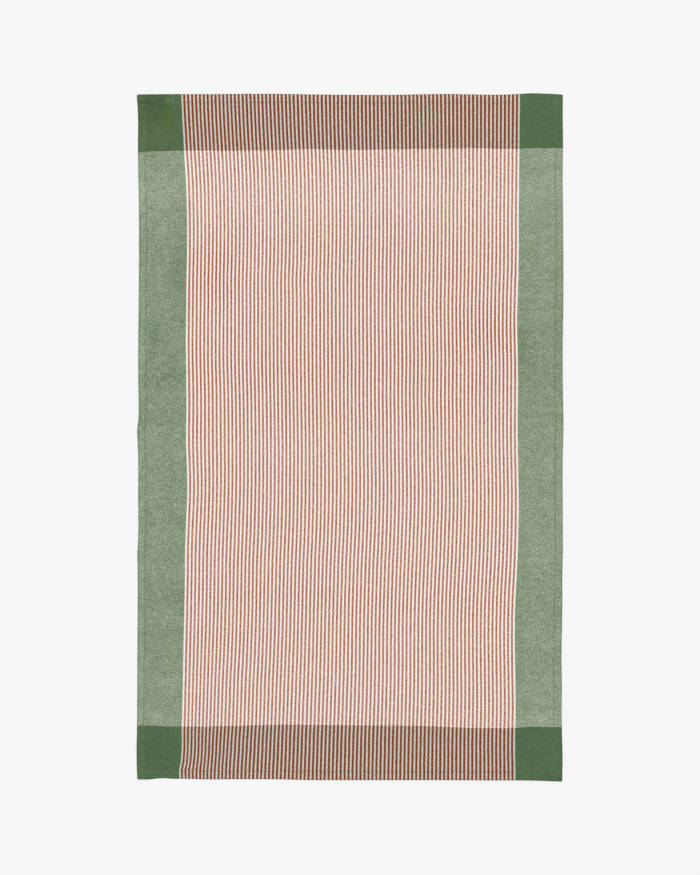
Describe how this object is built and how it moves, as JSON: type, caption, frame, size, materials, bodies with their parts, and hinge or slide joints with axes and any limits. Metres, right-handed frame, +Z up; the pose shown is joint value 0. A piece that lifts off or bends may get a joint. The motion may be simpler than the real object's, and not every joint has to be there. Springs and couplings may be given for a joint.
{
  "type": "tea towel",
  "caption": "Striped woven cotton tea towel with plain bands along its sides and ends and a stitched hem all round, laid out flat.",
  "frame": {"origin": "under the middle of the cloth's outline, on the surface that it rests on", "axes": "+X across the cloth, +Y along its length, +Z up, out of its face"},
  "size_m": [0.5004, 0.807, 0.0041],
  "materials": {
    "woven_cotton": "matt woven cotton in cream and brick-red stripes, with sage side bands, darker end bands and deep green corners"
  },
  "bodies": {
    "root": {"towel": "woven_cotton"}
  },
  "joints": []
}
